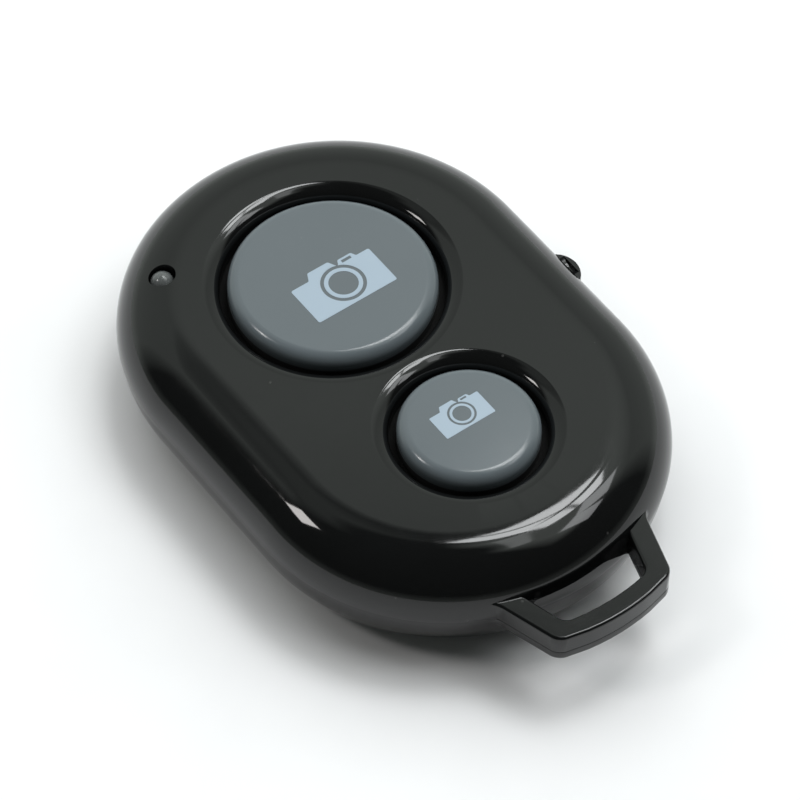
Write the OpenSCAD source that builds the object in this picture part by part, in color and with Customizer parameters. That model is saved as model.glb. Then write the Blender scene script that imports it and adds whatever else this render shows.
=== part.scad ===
// Wireless camera shutter remote: a stadium-shaped case with two round buttons.
// Millimetres. The flat back lies on Z = 0. +Y points to the large button's end,
// the lanyard loop is at -Y and the power switch on the +X side.

/* [Case] */
// Width of the case across its straight sides
case_w = 32; // [31:0.5:36]
// Distance between the centres of the two round ends
end_spacing = 13.2; // [13:0.2:18]
// Height of the seam between the two shells above the back
seam_h = 5.2; // [5.2:0.1:6]
// Rise of the front face above the seam
front_h = 4.3; // [4.3:0.05:4.8]
// Radius of the front edge
front_round = 3.9; // [3.4:0.1:3.9]
// Radius of the back edge
back_round = 4.9; // [4.4:0.1:5]
// Wall of the front shell
wall = 1.1; // [1:0.05:1.2]
// Floor of the back shell
floor_t = 1.1; // [1:0.05:1.1]
// How far the back shell stands in from the front shell at the seam
seam_step = 0.12; // [0.05:0.01:0.2]
// Height of the lip that locates the two shells
lip_h = 0.8; // [0.6:0.1:1]
// Thickness of that lip
lip_t = 0.5; // [0.4:0.05:0.6]
// Gap between the lip and the front shell
lip_gap = 0.1; // [0.05:0.01:0.15]

/* [Lanyard loop] */
// How far the loop stands out beyond the round end
loop_reach = 4.2; // [4:0.1:5]
// Width of the loop where it leaves the case
loop_root_w = 12.9; // [12:0.1:14]
// Width of the loop at its outer corners
loop_tip_w = 9.9; // [9.4:0.1:10.4]
// Thickness of the front shell's half of the loop
loop_front_t = 1.6; // [1.4:0.1:1.8]
// Thickness of the back shell's half of the loop
loop_back_t = 0.8; // [0.6:0.1:1]
// Width of the loop's end bar
loop_bar = 1.5; // [1.3:0.05:1.7]
// Width of the loop's side bars
loop_side_bar = 1.65; // [1.4:0.05:1.8]
// Outward bow of the end bar
loop_crown = 0.75; // [0.6:0.05:0.9]
// Radius of the loop's outer corners
loop_corner_r = 1.2; // [1:0.1:1.3]
// Radius where the loop blends into the case
loop_root_r = 1.6; // [1.2:0.1:1.8]

/* [Buttons] */
// Distance from the side of the case to the large button
large_side_margin = 8.4; // [8.2:0.1:8.8]
// Distance from the end of the case to the large button
large_end_margin = 7.9; // [7.5:0.1:8]
// Diameter of the small button
small_button_d = 10.2; // [9.6:0.1:10.2]
// Flat strip between the rims of the two button wells
well_bridge = 0.3; // [0.2:0.02:0.4]
// How far the buttons stand above the front face
button_proud = 0.4; // [0.3:0.05:0.5]
// How far a button can be pressed
button_travel = 0.25; // [0.15:0.05:0.25]
// Radius of the buttons' top edge
button_round = 0.9; // [0.6:0.1:1]
// Thickness of the buttons' top and skirt
button_wall = 1; // [0.9:0.05:1.1]
// Gap between a button and its well
well_gap = 0.7; // [0.6:0.02:0.8]
// Radius of the wells' rim
well_round = 0.95; // [0.8:0.05:0.95]
// How far a collar hangs below the ceiling round each well
collar_drop = 0.55; // [0.4:0.05:0.6]
// Thickness of the flange that keeps a button in
flange_t = 0.55; // [0.45:0.05:0.6]
// How far the flange reaches past the well
flange_reach = 0.6; // [0.5:0.05:0.7]

/* [Status light] */
// Diameter of the light
light_d = 1.8; // [1.6:0.05:1.8]
// Gap between the light's flange and the lip
light_margin = 0.65; // [0.65:0.05:0.85]
// Direction of the light from +X
light_angle = 139.5; // [134:0.5:142]
// How far the light's dome lies below the front face
light_recess = 0.15; // [0.1:0.05:0.3]

/* [Circuit board] */
// Thickness of the circuit board
board_t = 0.8; // [0.7:0.05:0.9]
// Gap between the board's edge and the lip
board_gap = 0.4; // [0.35:0.05:0.5]
// Room between the circuit board and the ceiling of the front shell
board_room = 2.6; // [2.6:0.05:2.75]
// Gap between the coin cell and the board
cell_gap = 0.4; // [0.35:0.05:0.45]
// Shaft diameter of the board screws
screw_d = 1.6; // [1.4:0.1:1.8]
// Head diameter of the board screws
screw_head_d = 2.6; // [2.4:0.1:2.8]
// Height of the screw heads
screw_head_h = 0.7; // [0.6:0.05:0.8]

/* [Key switches] */
// Side length of a key switch
key_w = 5.2; // [4.8:0.1:5.4]
// Height of a key switch's base
key_base_h = 1.25; // [1.15:0.05:1.3]
// Thickness of a key switch's cover
key_cover_t = 0.2; // [0.15:0.05:0.25]
// Diameter of a key switch's plunger
plunger_d = 2.4; // [2.2:0.1:2.6]

/* [Power switch] */
// Middle of the power switch's slot along Y
power_y = 0.6; // [0.4:0.1:0.8]
// Travel of the power switch
power_travel = 2; // [1.6:0.1:2]
// Length of the knob along the case's side
knob_len = 3.7; // [3.4:0.1:3.8]
// How far the knob stands out of the case's side
knob_out = 0.3; // [0.25:0.05:0.6]
// Height of the knob
knob_h = 1.3; // [1.2:0.05:1.35]
// Gap between the knob and its slot
slot_gap = 0.2; // [0.15:0.05:0.25]

/* [Coin cell] */
// Diameter of the coin cell
cell_d = 20; // [19.8:0.1:20]

/* [Hidden] */
$fn = 72;
over = 0.5;
fit = 0.02;
arc_steps = 10;

// Sheet metal and copper thicknesses
clip_t = 0.2;
lead_t = 0.15;
copper_t = 0.05;

// Half widths of the shells, and the length from the middle to the end of the case
front_r = case_w / 2;
back_r = front_r - seam_step;
front_in_r = front_r - wall;
lip_out_r = front_in_r - lip_gap;
lip_in_r = lip_out_r - lip_t;
end_y = end_spacing / 2;
case_end = end_y + front_r;
board_r = lip_in_r - board_gap;

// Heights: the board hangs from the ceiling, and the cell fills the room between it and the floor
face_z = seam_h + front_h;
ceiling_z = face_z - wall;
board_top_z = ceiling_z - board_room;
board_z = board_top_z - board_t;
cell_top_z = board_z - cell_gap;
clip_z = floor_t + clip_t / 2;
cell_z = clip_z + clip_t;
key_top_z = board_top_z + key_base_h + key_cover_t;
button_top_z = face_z + button_proud;
collar_z = ceiling_z - collar_drop;

// The clip at the cell's sides, from the cell outwards
clip_gap = 0.05;
clip_in_x = cell_d / 2 + clip_gap;
clip_out_x = clip_in_x + clip_t;

// Edge radii, which leave a straight side at the seam and keep off the clip inside
edge_land = 0.15;
front_edge = min(front_round, front_h - edge_land);
back_edge = min(back_round, seam_h - edge_land);
front_in_round = front_edge - wall;
back_in_round = min(back_edge - floor_t, lip_in_r - clip_out_x - clip_gap);

// Lanyard loop: the side bars lean in from root to tip
loop_tip_y = -case_end - loop_reach;
loop_root_x = loop_root_w / 2;
loop_root_y = -end_y - sqrt(front_r * front_r - loop_root_x * loop_root_x);
loop_corner = [loop_tip_w / 2, loop_tip_y + loop_crown];
loop_lean = (loop_root_x - loop_corner[0]) / (loop_root_y - loop_corner[1]);
loop_side_shift = loop_side_bar * sqrt(1 + loop_lean * loop_lean);
loop_foot_x = loop_root_x + 2 * loop_root_r;
loop_foot = [loop_foot_x, -end_y - sqrt(pow(front_r - wall / 2, 2) - loop_foot_x * loop_foot_x)];
opening_corner_r = loop_corner_r * 0.75;
opening_tip_y = loop_tip_y + loop_bar;
opening_crown = loop_crown / 2;

// Button wells, collars and flanges: the small well lies right beside the large one
large_button_d = case_w - 2 * large_side_margin;
large_button_y = case_end - large_end_margin - large_button_d / 2;
large_well_r = large_button_d / 2 + well_gap;
small_well_r = small_button_d / 2 + well_gap;
small_button_y = large_button_y - large_well_r - 2 * well_round - well_bridge - small_well_r;
rim_ease = 0.01;
collar_t = 0.85;
flange_gap = 0.05;
flange_top_z = collar_z - flange_gap;
flange_z = flange_top_z - flange_t;
rib_w = 1.2;
rib_depth = 0.7;
rib_gap = 0.12;
stem_d = 3;

// Key switches: a pit in the base holds the dome and the plunger's foot
key_pit_share = 1.6;
key_floor_share = 0.32;
key_pit_d = key_pit_share * plunger_d;
key_pit_z = board_top_z + key_floor_share * key_base_h;
key_tab_h = 0.6;
key_tab_len_share = 0.5;
key_lead_w = 0.6;
key_lead_len = 0.8;
key_lead_x_share = 0.3;
plunger_gap = 0.1;
plunger_run = 0.05;
plunger_top_z = key_top_z + button_travel + plunger_gap;
plunger_foot_t = 0.3;
plunger_foot_gap = 0.2;
plunger_foot_d = key_pit_d - 2 * plunger_foot_gap;
plunger_foot_z = board_top_z + key_base_h - plunger_run - plunger_foot_t;
dome_t = 0.08;
dome_gap = 0.1;
dome_d = key_pit_d - 2 * dome_gap;
dome_rise = plunger_foot_z - button_travel - key_pit_z - fit;
dome_r = (dome_d * dome_d / 4 + dome_rise * dome_rise) / (2 * dome_rise);

// Screws through the board into bosses of the front shell
screw_edge = 0.1;
screw_hole_gap = 0.1;
screw_reach = board_r - screw_head_d / 2 - screw_edge;
screw_angle = 42;
screw_x = screw_reach * cos(screw_angle);
screw_y = end_y + screw_reach * sin(screw_angle);
screw_places = [[screw_x, screw_y], [screw_x, -screw_y], [-screw_x, -screw_y]];
screw_tip_z = ceiling_z - wall / 4;
screw_slot_w = 0.4;
boss_d = 2 * screw_d;

// Status light, just inside the lip
light_gap = 0.1;
light_flange_t = 0.15;
light_flange_h = 0.4;
light_reach = lip_in_r - light_margin - light_flange_t - light_d / 2;
light_x = light_reach * cos(light_angle);
light_y = end_y + light_reach * sin(light_angle);
light_lead_w = 0.35;
light_lead_pitch = 1;
light_top_z = face_z - light_recess;

// Power switch, from the board's edge inwards
power_case_w = 2.8;
power_case_len = 6.6;
power_case_h = 1.55;
power_case_t = 0.15;
power_base_h = 0.35;
power_edge = 0.1;
power_front_x = board_r - power_edge;
power_back_x = power_front_x - power_case_w;
power_rest_y = power_y - power_travel / 2;
power_lead_w = 0.5;
power_lead_len = 0.8;
power_lead_pitch = 1.9;
knob_root_len = 2.4;
knob_neck_h = 0.7;
neck_gap = 0.2;
carriage_gap = 0.1;
knob_z = board_top_z + power_case_h / 2;
knob_tip_x = front_r + knob_out;
knob_rim = 0.4;
knob_dish_r = 0.9;
knob_dish_d = 0.4;
slot_len = knob_len + power_travel + 2 * slot_gap;
slot_top_z = knob_z + knob_h / 2 + slot_gap;
slot_sill_z = knob_z - knob_h / 2 - slot_gap;

// Small parts on the board, placed as shares of the board's half width
chip_w = 4;
chip_t = 0.85;
crystal_len = 3.2;
crystal_w = 2.5;
crystal_t = 0.7;
chip_share = [-0.36, -0.1];
crystal_share = [0.36, -0.1];
smd_len = 1;
smd_w = 0.5;
smd_t = 0.45;
smd_end_share = 0.22;
capacitor_shares = [
    [-0.66, -0.02], [-0.66, -0.14], [-0.1, -0.12], [-0.1, -0.2], [0.1, -0.12], [0.62, -0.72], [0.62, -0.6]
];
resistor_shares = [[-0.66, -0.26], [-0.66, -0.38], [-0.66, 0.86], [0.1, -0.2], [-0.66, -0.6]];

// Printed aerial: a meander at the loop end
aerial_w = 0.5;
aerial_pitch = 1.3;
aerial_bars = 6;
aerial_h = 2.4;
aerial_inset = 1.9;
aerial_y = -end_y - board_r + aerial_inset;

// Coin cell, its clip, its contact and the ribs that stop it in the back shell
can_t = 0.25;
can_rim_w = 0.8;
cap_step = 0.25;
gasket_t = 0.45;
cap_r = cell_d / 2 - can_rim_w - gasket_t;
clip_w = 6;
clip_slot_w = 2.2;
clip_foot_share = 0.38;
clip_foot = clip_foot_share * (board_r - clip_out_x);
contact_d = 7;
contact_boss_d = 3;
contact_t = 0.12;
stop_gap = 0.4;
stop_t = 0.8;
stop_h = 1.6;
stop_angle = 100;

// Points of the arc of radius r that rounds the corner b between a and c
function unit(v) = v / norm(v);
function corner_arc(a, b, c, r) =
    let (
        to_a = unit(a - b),
        to_c = unit(c - b),
        half_angle = acos(to_a * to_c) / 2,
        centre = b + unit(to_a + to_c) * r / sin(half_angle),
        first = b + to_a * r / tan(half_angle) - centre,
        last = b + to_c * r / tan(half_angle) - centre,
        from = atan2(first[1], first[0]),
        turn = atan2(last[1], last[0]) - from,
        sweep = turn > 180 ? turn - 360 : turn < -180 ? turn + 360 : turn
    )
    [for (i = [0:arc_steps]) centre + r * [cos(from + sweep * i / arc_steps), sin(from + sweep * i / arc_steps)]];

// Outline with its corners rounded; a radius of 0 keeps the corner
function rounded(points, radii) =
    let (count = len(points))
    [
        for (i = [0:count - 1])
            each radii[i] == 0
                ? [points[i]]
                : corner_arc(points[(i + count - 1) % count], points[i], points[(i + 1) % count], radii[i])
    ];

// Points of a bar's edge that bows out by crown between two rounded corners
function bow(half_w, corner_r, tip_y, crown) =
    [
        for (i = [-arc_steps:arc_steps])
            let (x = (half_w - 2 * corner_r) * i / arc_steps)
            [x, tip_y + crown * pow(x / half_w, 2)]
    ];
function flip(p) = [-p[0], p[1]];
function zeros(count) = [for (i = [1:count]) 0];

// X of a side bar's inner edge at height y of the plan
function opening_x(y) = loop_corner[0] + loop_lean * (y - loop_corner[1]) - loop_side_shift;

// Half section of a shell: square at the seam (y = 0), rounded at the far edge (y = h)
module half_section(r, h, edge) {
    square([r - edge, h]);
    square([r, h - edge]);
    translate([r - edge, h - edge])
        intersection() {
            circle(r = edge);
            square(edge);
        }
}

// Stadium-shaped solid with its rounded edge up
module stadium(r, h, edge) {
    translate([0, end_y, 0])
        rotate_extrude(angle = 180)
            half_section(r, h, edge);
    translate([0, -end_y, 0])
        rotate([0, 0, 180])
            rotate_extrude(angle = 180)
                half_section(r, h, edge);
    translate([0, end_y, 0])
        rotate([90, 0, 0])
            linear_extrude(height = end_spacing) {
                half_section(r, h, edge);
                mirror([1, 0])
                    half_section(r, h, edge);
            }
}

// The same with its rounded edge down and its flat side at top_z
module stadium_below(top_z, r, h, edge) {
    translate([0, 0, top_z])
        mirror([0, 0, 1])
            stadium(r, h, edge);
}

module stadium_prism(r, z_low, z_high) {
    translate([0, 0, z_low])
        linear_extrude(height = z_high - z_low) {
            for (side = [-1, 1])
                translate([0, side * end_y])
                    circle(r = r);
            square([2 * r, end_spacing], center = true);
        }
}

// A block given by its two corners
module block(low, high) {
    translate(low)
        cube(high - low);
}

// A ring or disc about a vertical axis
module ring(outer_r, inner_r, z_low, z_high) {
    difference() {
        translate([0, 0, z_low])
            cylinder(r = outer_r, h = z_high - z_low);
        if (inner_r > 0)
            translate([0, 0, z_low - over])
                cylinder(r = inner_r, h = z_high - z_low + 2 * over);
    }
}

module at_screws() {
    for (place = screw_places)
        translate([place[0], place[1], 0])
            children();
}

// Plan of the lanyard loop, with a foot inside the case's wall
module loop_plan() {
    edge = bow(loop_corner[0], loop_corner_r, loop_tip_y, loop_crown);
    outer = concat(
        [flip(loop_foot), [-loop_root_x, loop_root_y], flip(loop_corner)],
        edge,
        [loop_corner, [loop_root_x, loop_root_y], loop_foot]
    );
    outer_radii = concat(
        [0, loop_root_r, loop_corner_r], zeros(len(edge)), [loop_corner_r, loop_root_r, 0]
    );
    low_y = opening_tip_y + opening_crown;
    high_y = loop_foot[1];
    low = [opening_x(low_y), low_y];
    high = [opening_x(high_y), high_y];
    inner_edge = bow(low[0], opening_corner_r, opening_tip_y, opening_crown);
    inner = concat([flip(high), flip(low)], inner_edge, [low, high]);
    inner_radii = concat([0, opening_corner_r], zeros(len(inner_edge)), [opening_corner_r, 0]);
    difference() {
        polygon(rounded(outer, outer_radii));
        polygon(rounded(inner, inner_radii));
    }
}

module loop(z_low, z_high) {
    translate([0, 0, z_low])
        linear_extrude(height = z_high - z_low)
            loop_plan();
}

// What a button well takes out of the front shell: a round hole with a rounded rim
module well(well_r) {
    rim_z = face_z - well_round + rim_ease;
    rotate_extrude() {
        translate([0, flange_z])
            square([well_r, face_z + over - flange_z]);
        difference() {
            translate([0, rim_z])
                square([well_r + well_round, face_z + over - rim_z]);
            translate([well_r + well_round, rim_z])
                circle(r = well_round);
        }
    }
}

// Collar that guides a button, and two ribs that stop it turning
module collar(well_r) {
    ring(well_r + collar_t, well_r, collar_z, ceiling_z + wall / 2);
    for (side = [-1, 1])
        translate([side * (well_r + flange_reach), 0, (flange_z + collar_z + wall / 2) / 2])
            cube([rib_depth, rib_w, collar_z + wall / 2 - flange_z], center = true);
}

module front_shell() {
    color([0.05, 0.05, 0.06])
        difference() {
            union() {
                difference() {
                    union() {
                        translate([0, 0, seam_h])
                            stadium(front_r, front_h, front_edge);
                        loop(seam_h, seam_h + loop_front_t);
                    }
                    translate([0, 0, seam_h])
                        stadium(front_in_r, front_h - wall, front_in_round);
                }
                translate([0, large_button_y, 0])
                    collar(large_well_r);
                translate([0, small_button_y, 0])
                    collar(small_well_r);
                at_screws()
                    ring(boss_d / 2, 0, board_top_z, ceiling_z + fit);
            }
            translate([0, large_button_y, 0])
                well(large_well_r);
            translate([0, small_button_y, 0])
                well(small_well_r);
            translate([light_x, light_y, collar_z])
                cylinder(r = light_d / 2 + light_gap, h = face_z);
            at_screws()
                translate([0, 0, board_z])
                    cylinder(r = screw_d / 2 + fit, h = screw_tip_z + screw_hole_gap - board_z);
            block(
                [power_front_x, power_y - slot_len / 2, seam_h - over],
                [front_r + over, power_y + slot_len / 2, slot_top_z]
            );
        }
}

module back_shell() {
    sill_len = slot_len - 2 * lip_gap;
    color([0.07, 0.07, 0.08])
        difference() {
            union() {
                difference() {
                    union() {
                        stadium_below(seam_h, back_r, seam_h, back_edge);
                        stadium_prism(lip_out_r, seam_h - lip_h, seam_h + lip_h);
                        loop(seam_h - loop_back_t, seam_h);
                    }
                    stadium_below(seam_h, lip_in_r, seam_h - floor_t, back_in_round);
                    stadium_prism(lip_in_r, seam_h - fit, seam_h + lip_h + over);
                    block(
                        [lip_in_r - over, power_y - slot_len / 2 - slot_gap, min(seam_h, slot_sill_z)],
                        [back_r + over, power_y + slot_len / 2 + slot_gap, seam_h + lip_h + over]
                    );
                }
                block(
                    [lip_in_r + fit, power_y - sill_len / 2, seam_h - lip_h],
                    [back_r, power_y + sill_len / 2, slot_sill_z]
                );
                for (side = [-1, 1])
                    rotate([0, 0, side * 90 - stop_angle / 2])
                        rotate_extrude(angle = stop_angle)
                            translate([cell_d / 2 + stop_gap, floor_t / 2])
                                square([stop_t, floor_t / 2 + stop_h]);
            }
        }
}

// Cap with a skirt, a retaining flange and a stem that reaches its key switch
module button(d, well_r) {
    under_z = button_top_z - button_wall;
    difference() {
        rotate_extrude() {
            difference() {
                union() {
                    translate([0, flange_z])
                        half_section(d / 2, button_top_z - flange_z, button_round);
                    translate([0, flange_z])
                        square([well_r + flange_reach, flange_t]);
                }
                translate([0, flange_z - over])
                    square([d / 2 - button_wall, under_z - flange_z + over]);
            }
            translate([0, plunger_top_z + fit])
                square([stem_d / 2, under_z - plunger_top_z]);
        }
        for (side = [-1, 1])
            translate([side * (well_r + flange_reach), 0, flange_z])
                cube([rib_depth + 2 * rib_gap, rib_w + 2 * rib_gap, 2 * flange_t + over], center = true);
    }
}

module large_button() {
    color([0.42, 0.45, 0.47])
        translate([0, large_button_y, 0])
            button(large_button_d, large_well_r);
}

module small_button() {
    color([0.42, 0.45, 0.47])
        translate([0, small_button_y, 0])
            button(small_button_d, small_well_r);
}

module circuit_board() {
    color([0.05, 0.35, 0.2])
        difference() {
            stadium_prism(board_r, board_z, board_top_z);
            at_screws()
                translate([0, 0, board_z - over])
                    cylinder(r = screw_d / 2 + screw_hole_gap, h = board_t + 2 * over);
            for (side = [-1, 1])
                translate([light_x + side * light_lead_pitch / 2, light_y, board_z + board_t / 2])
                    cube([light_lead_w + 2 * fit, light_lead_w + 2 * fit, board_t + 2 * over], center = true);
        }
}

module board_screws() {
    color([0.7, 0.7, 0.72])
        at_screws()
            difference() {
                union() {
                    ring(screw_head_d / 2, 0, board_z - screw_head_h, board_z);
                    ring(screw_d / 2, 0, board_z - screw_head_h / 2, screw_tip_z);
                }
                for (turn = [0, 90])
                    rotate([0, 0, turn])
                        translate([0, 0, board_z - screw_head_h])
                            cube([screw_head_d - 2 * screw_slot_w, screw_slot_w, screw_head_h], center = true);
            }
}

module key_base() {
    difference() {
        translate([0, 0, board_top_z + key_base_h / 2])
            cube([key_w, key_w, key_base_h], center = true);
        translate([0, 0, key_pit_z])
            cylinder(d = key_pit_d, h = key_base_h);
    }
}

module key_cover() {
    plate_z = board_top_z + key_base_h;
    tab_len = key_tab_len_share * key_w;
    difference() {
        block([-key_w / 2, -key_w / 2, plate_z], [key_w / 2, key_w / 2, plate_z + key_cover_t]);
        translate([0, 0, plate_z - over])
            cylinder(d = plunger_d + 2 * plunger_run, h = key_cover_t + 2 * over);
    }
    for (turn = [0, 180])
        rotate([0, 0, turn])
            block(
                [key_w / 2, -tab_len / 2, plate_z - key_tab_h],
                [key_w / 2 + lead_t, tab_len / 2, plate_z + key_cover_t]
            );
}

module key_plunger() {
    ring(plunger_foot_d / 2, 0, plunger_foot_z, plunger_foot_z + plunger_foot_t);
    ring(plunger_d / 2, 0, plunger_foot_z + plunger_foot_t / 2, plunger_top_z);
}

// Shallow sprung dome on the pit's floor, just below the plunger when pressed
module key_dome() {
    translate([0, 0, key_pit_z])
        rotate_extrude($fn = 4 * $fn)
            intersection() {
                translate([0, dome_rise - dome_r])
                    difference() {
                        circle(r = dome_r, $fn = 8 * $fn);
                        circle(r = dome_r - dome_t, $fn = 8 * $fn);
                    }
                square([dome_d / 2, dome_rise]);
            }
}

module key_leads() {
    for (side_x = [-1, 1])
        for (side_y = [-1, 1])
            translate([
                side_x * key_lead_x_share * key_w,
                side_y * (key_w + key_lead_len) / 2,
                board_top_z + lead_t / 2
            ])
                cube([key_lead_w, key_lead_len, lead_t], center = true);
}

module large_key_base() {
    color([0.12, 0.12, 0.13])
        translate([0, large_button_y, 0])
            key_base();
}

module large_key_cover() {
    color([0.75, 0.75, 0.77])
        translate([0, large_button_y, 0])
            key_cover();
}

module large_key_plunger() {
    color([0.2, 0.2, 0.22])
        translate([0, large_button_y, 0])
            key_plunger();
}

module large_key_dome() {
    color([0.8, 0.78, 0.7])
        translate([0, large_button_y, 0])
            key_dome();
}

module large_key_leads() {
    color([0.8, 0.8, 0.82])
        translate([0, large_button_y, 0])
            key_leads();
}

module small_key_base() {
    color([0.12, 0.12, 0.13])
        translate([0, small_button_y, 0])
            key_base();
}

module small_key_cover() {
    color([0.75, 0.75, 0.77])
        translate([0, small_button_y, 0])
            key_cover();
}

module small_key_plunger() {
    color([0.2, 0.2, 0.22])
        translate([0, small_button_y, 0])
            key_plunger();
}

module small_key_dome() {
    color([0.8, 0.78, 0.7])
        translate([0, small_button_y, 0])
            key_dome();
}

module small_key_leads() {
    color([0.8, 0.8, 0.82])
        translate([0, small_button_y, 0])
            key_leads();
}

// Folded metal case, open below and slotted at the front for the knob's neck
module power_switch_case() {
    neck_len = knob_root_len + power_travel + 2 * neck_gap;
    half_len = power_case_len / 2;
    top_z = board_top_z + power_case_h;
    color([0.75, 0.75, 0.77])
        difference() {
            block([power_back_x, power_y - half_len, board_top_z], [power_front_x, power_y + half_len, top_z]);
            block(
                [power_back_x + power_case_t, power_y - half_len + power_case_t, board_top_z - over],
                [power_front_x - power_case_t, power_y + half_len - power_case_t, top_z - power_case_t]
            );
            block(
                [power_front_x - over, power_y - neck_len / 2, knob_z - knob_neck_h / 2 - carriage_gap],
                [power_front_x + over, power_y + neck_len / 2, knob_z + knob_neck_h / 2 + carriage_gap]
            );
        }
}

module power_switch_base() {
    half_len = power_case_len / 2 - power_case_t - fit;
    color([0.2, 0.16, 0.12])
        block(
            [power_back_x + power_case_t + fit, power_y - half_len, board_top_z],
            [power_front_x - power_case_t - fit, power_y + half_len, board_top_z + power_base_h]
        );
}

// Carriage in the case, neck through its slot, and a D-shaped knob with a thumb dish
module power_switch_knob() {
    carriage_len = knob_root_len - 2 * carriage_gap;
    knob_root_x = power_front_x + carriage_gap;
    knob_round_x = knob_tip_x - knob_len / 2;
    color([0.1, 0.1, 0.11])
        translate([0, power_rest_y, 0]) {
            block(
                [power_back_x + power_case_t + carriage_gap, -carriage_len / 2, knob_z - knob_neck_h / 2],
                [knob_root_x + carriage_gap, carriage_len / 2, knob_z + knob_neck_h / 2]
            );
            difference() {
                translate([0, 0, knob_z - knob_h / 2])
                    linear_extrude(height = knob_h)
                        difference() {
                            union() {
                                translate([knob_round_x, 0])
                                    circle(d = knob_len);
                                translate([knob_root_x, -knob_len / 2])
                                    square([knob_round_x - knob_root_x, knob_len]);
                            }
                            translate([knob_root_x - knob_len, -knob_len])
                                square([knob_len, 2 * knob_len]);
                        }
                translate([front_in_r, 0, knob_z + knob_h / 2 + knob_dish_r - knob_dish_d])
                    rotate([0, 90, 0])
                        cylinder(r = knob_dish_r, h = knob_tip_x - knob_rim - front_in_r);
            }
        }
}

module power_switch_leads() {
    color([0.8, 0.8, 0.82])
        for (i = [-1:1])
            block(
                [power_back_x - power_lead_len, power_y + i * power_lead_pitch - power_lead_w / 2, board_top_z],
                [power_back_x, power_y + i * power_lead_pitch + power_lead_w / 2, board_top_z + lead_t]
            );
}

module status_light_lens() {
    dome_z = light_top_z - light_d / 2;
    color([0.6, 0.62, 0.62, 0.6])
        translate([light_x, light_y, 0])
            rotate_extrude() {
                translate([0, board_top_z])
                    square([light_d / 2, dome_z - board_top_z]);
                translate([0, board_top_z])
                    square([light_d / 2 + light_flange_t, light_flange_h]);
                translate([0, dome_z])
                    intersection() {
                        circle(d = light_d);
                        square(light_d / 2);
                    }
            }
}

module status_light_leads() {
    color([0.8, 0.8, 0.82])
        for (side = [-1, 1])
            translate([light_x + side * light_lead_pitch / 2, light_y, 0])
                block(
                    [-light_lead_w / 2, -light_lead_w / 2, board_z - light_lead_w],
                    [light_lead_w / 2, light_lead_w / 2, board_top_z]
                );
}

module on_board(share) {
    translate([share[0] * board_r, share[1] * board_r, board_top_z])
        children();
}

module radio_chip() {
    color([0.08, 0.08, 0.09])
        on_board(chip_share)
            translate([0, 0, chip_t / 2])
                cube([chip_w, chip_w, chip_t], center = true);
}

module crystal_can() {
    color([0.75, 0.74, 0.7])
        on_board(crystal_share)
            translate([0, 0, crystal_t / 2])
                cube([crystal_len, crystal_w, crystal_t], center = true);
}

module smd_bodies(shares) {
    for (share = shares)
        on_board(share)
            translate([0, 0, smd_t / 2])
                cube([smd_len * (1 - 2 * smd_end_share), smd_w, smd_t], center = true);
}

module capacitors() {
    color([0.62, 0.5, 0.36])
        smd_bodies(capacitor_shares);
}

module resistors() {
    color([0.1, 0.1, 0.1])
        smd_bodies(resistor_shares);
}

module component_ends() {
    end_len = smd_end_share * smd_len;
    color([0.8, 0.8, 0.82])
        for (share = concat(capacitor_shares, resistor_shares))
            on_board(share)
                for (side = [-1, 1])
                    translate([side * (smd_len - end_len) / 2, 0, smd_t / 2])
                        cube([end_len, smd_w, smd_t], center = true);
}

module printed_aerial() {
    color([0.75, 0.6, 0.3])
        translate([-aerial_pitch * (aerial_bars - 1) / 2, aerial_y, board_top_z])
            linear_extrude(height = copper_t) {
                for (i = [0:aerial_bars - 1])
                    translate([i * aerial_pitch - aerial_w / 2, 0])
                        square([aerial_w, aerial_h]);
                for (i = [0:aerial_bars - 2])
                    translate([i * aerial_pitch - aerial_w / 2, i % 2 == 0 ? 0 : aerial_h - aerial_w])
                        square([aerial_pitch + aerial_w, aerial_w]);
            }
}

// Clip under the cell: a slotted strap, two sides and two feet soldered to the board
module cell_clip() {
    color([0.78, 0.78, 0.8])
        difference() {
            union() {
                block([-clip_out_x, -clip_w / 2, clip_z], [clip_out_x, clip_w / 2, clip_z + clip_t]);
                for (turn = [0, 180])
                    rotate([0, 0, turn]) {
                        block([clip_in_x, -clip_w / 2, clip_z], [clip_out_x, clip_w / 2, board_z]);
                        block(
                            [clip_in_x, -clip_w / 2, board_z - clip_t],
                            [clip_out_x + clip_foot, clip_w / 2, board_z]
                        );
                    }
            }
            block(
                [-cell_d / 4, -clip_slot_w / 2, clip_z - over],
                [cell_d / 4, clip_slot_w / 2, clip_z + clip_t + over]
            );
        }
}

module cell_contact() {
    color([0.78, 0.78, 0.8]) {
        ring(contact_d / 2, 0, board_z - contact_t, board_z);
        ring(contact_boss_d / 2, 0, cell_top_z, board_z - contact_t / 2);
    }
}

module cell_can() {
    rim_z = cell_top_z - cap_step;
    color([0.76, 0.77, 0.78])
        difference() {
            ring(cell_d / 2, 0, cell_z, rim_z);
            ring(cell_d / 2 - can_t, 0, cell_z + can_t, rim_z - can_t);
            ring(cell_d / 2 - can_rim_w, 0, cell_z + can_t, rim_z + over);
        }
}

module cell_gasket() {
    rim_z = cell_top_z - cap_step;
    color([0.15, 0.15, 0.16]) {
        ring(cell_d / 2 - can_t - fit, cap_r + fit, cell_z + can_t, rim_z - can_t - fit);
        ring(cell_d / 2 - can_rim_w - fit, cap_r + fit, cell_z + can_t + fit, rim_z + fit);
    }
}

module cell_cap() {
    color([0.8, 0.8, 0.82])
        ring(cap_r, 0, cell_z + can_t, cell_top_z);
}

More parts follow.
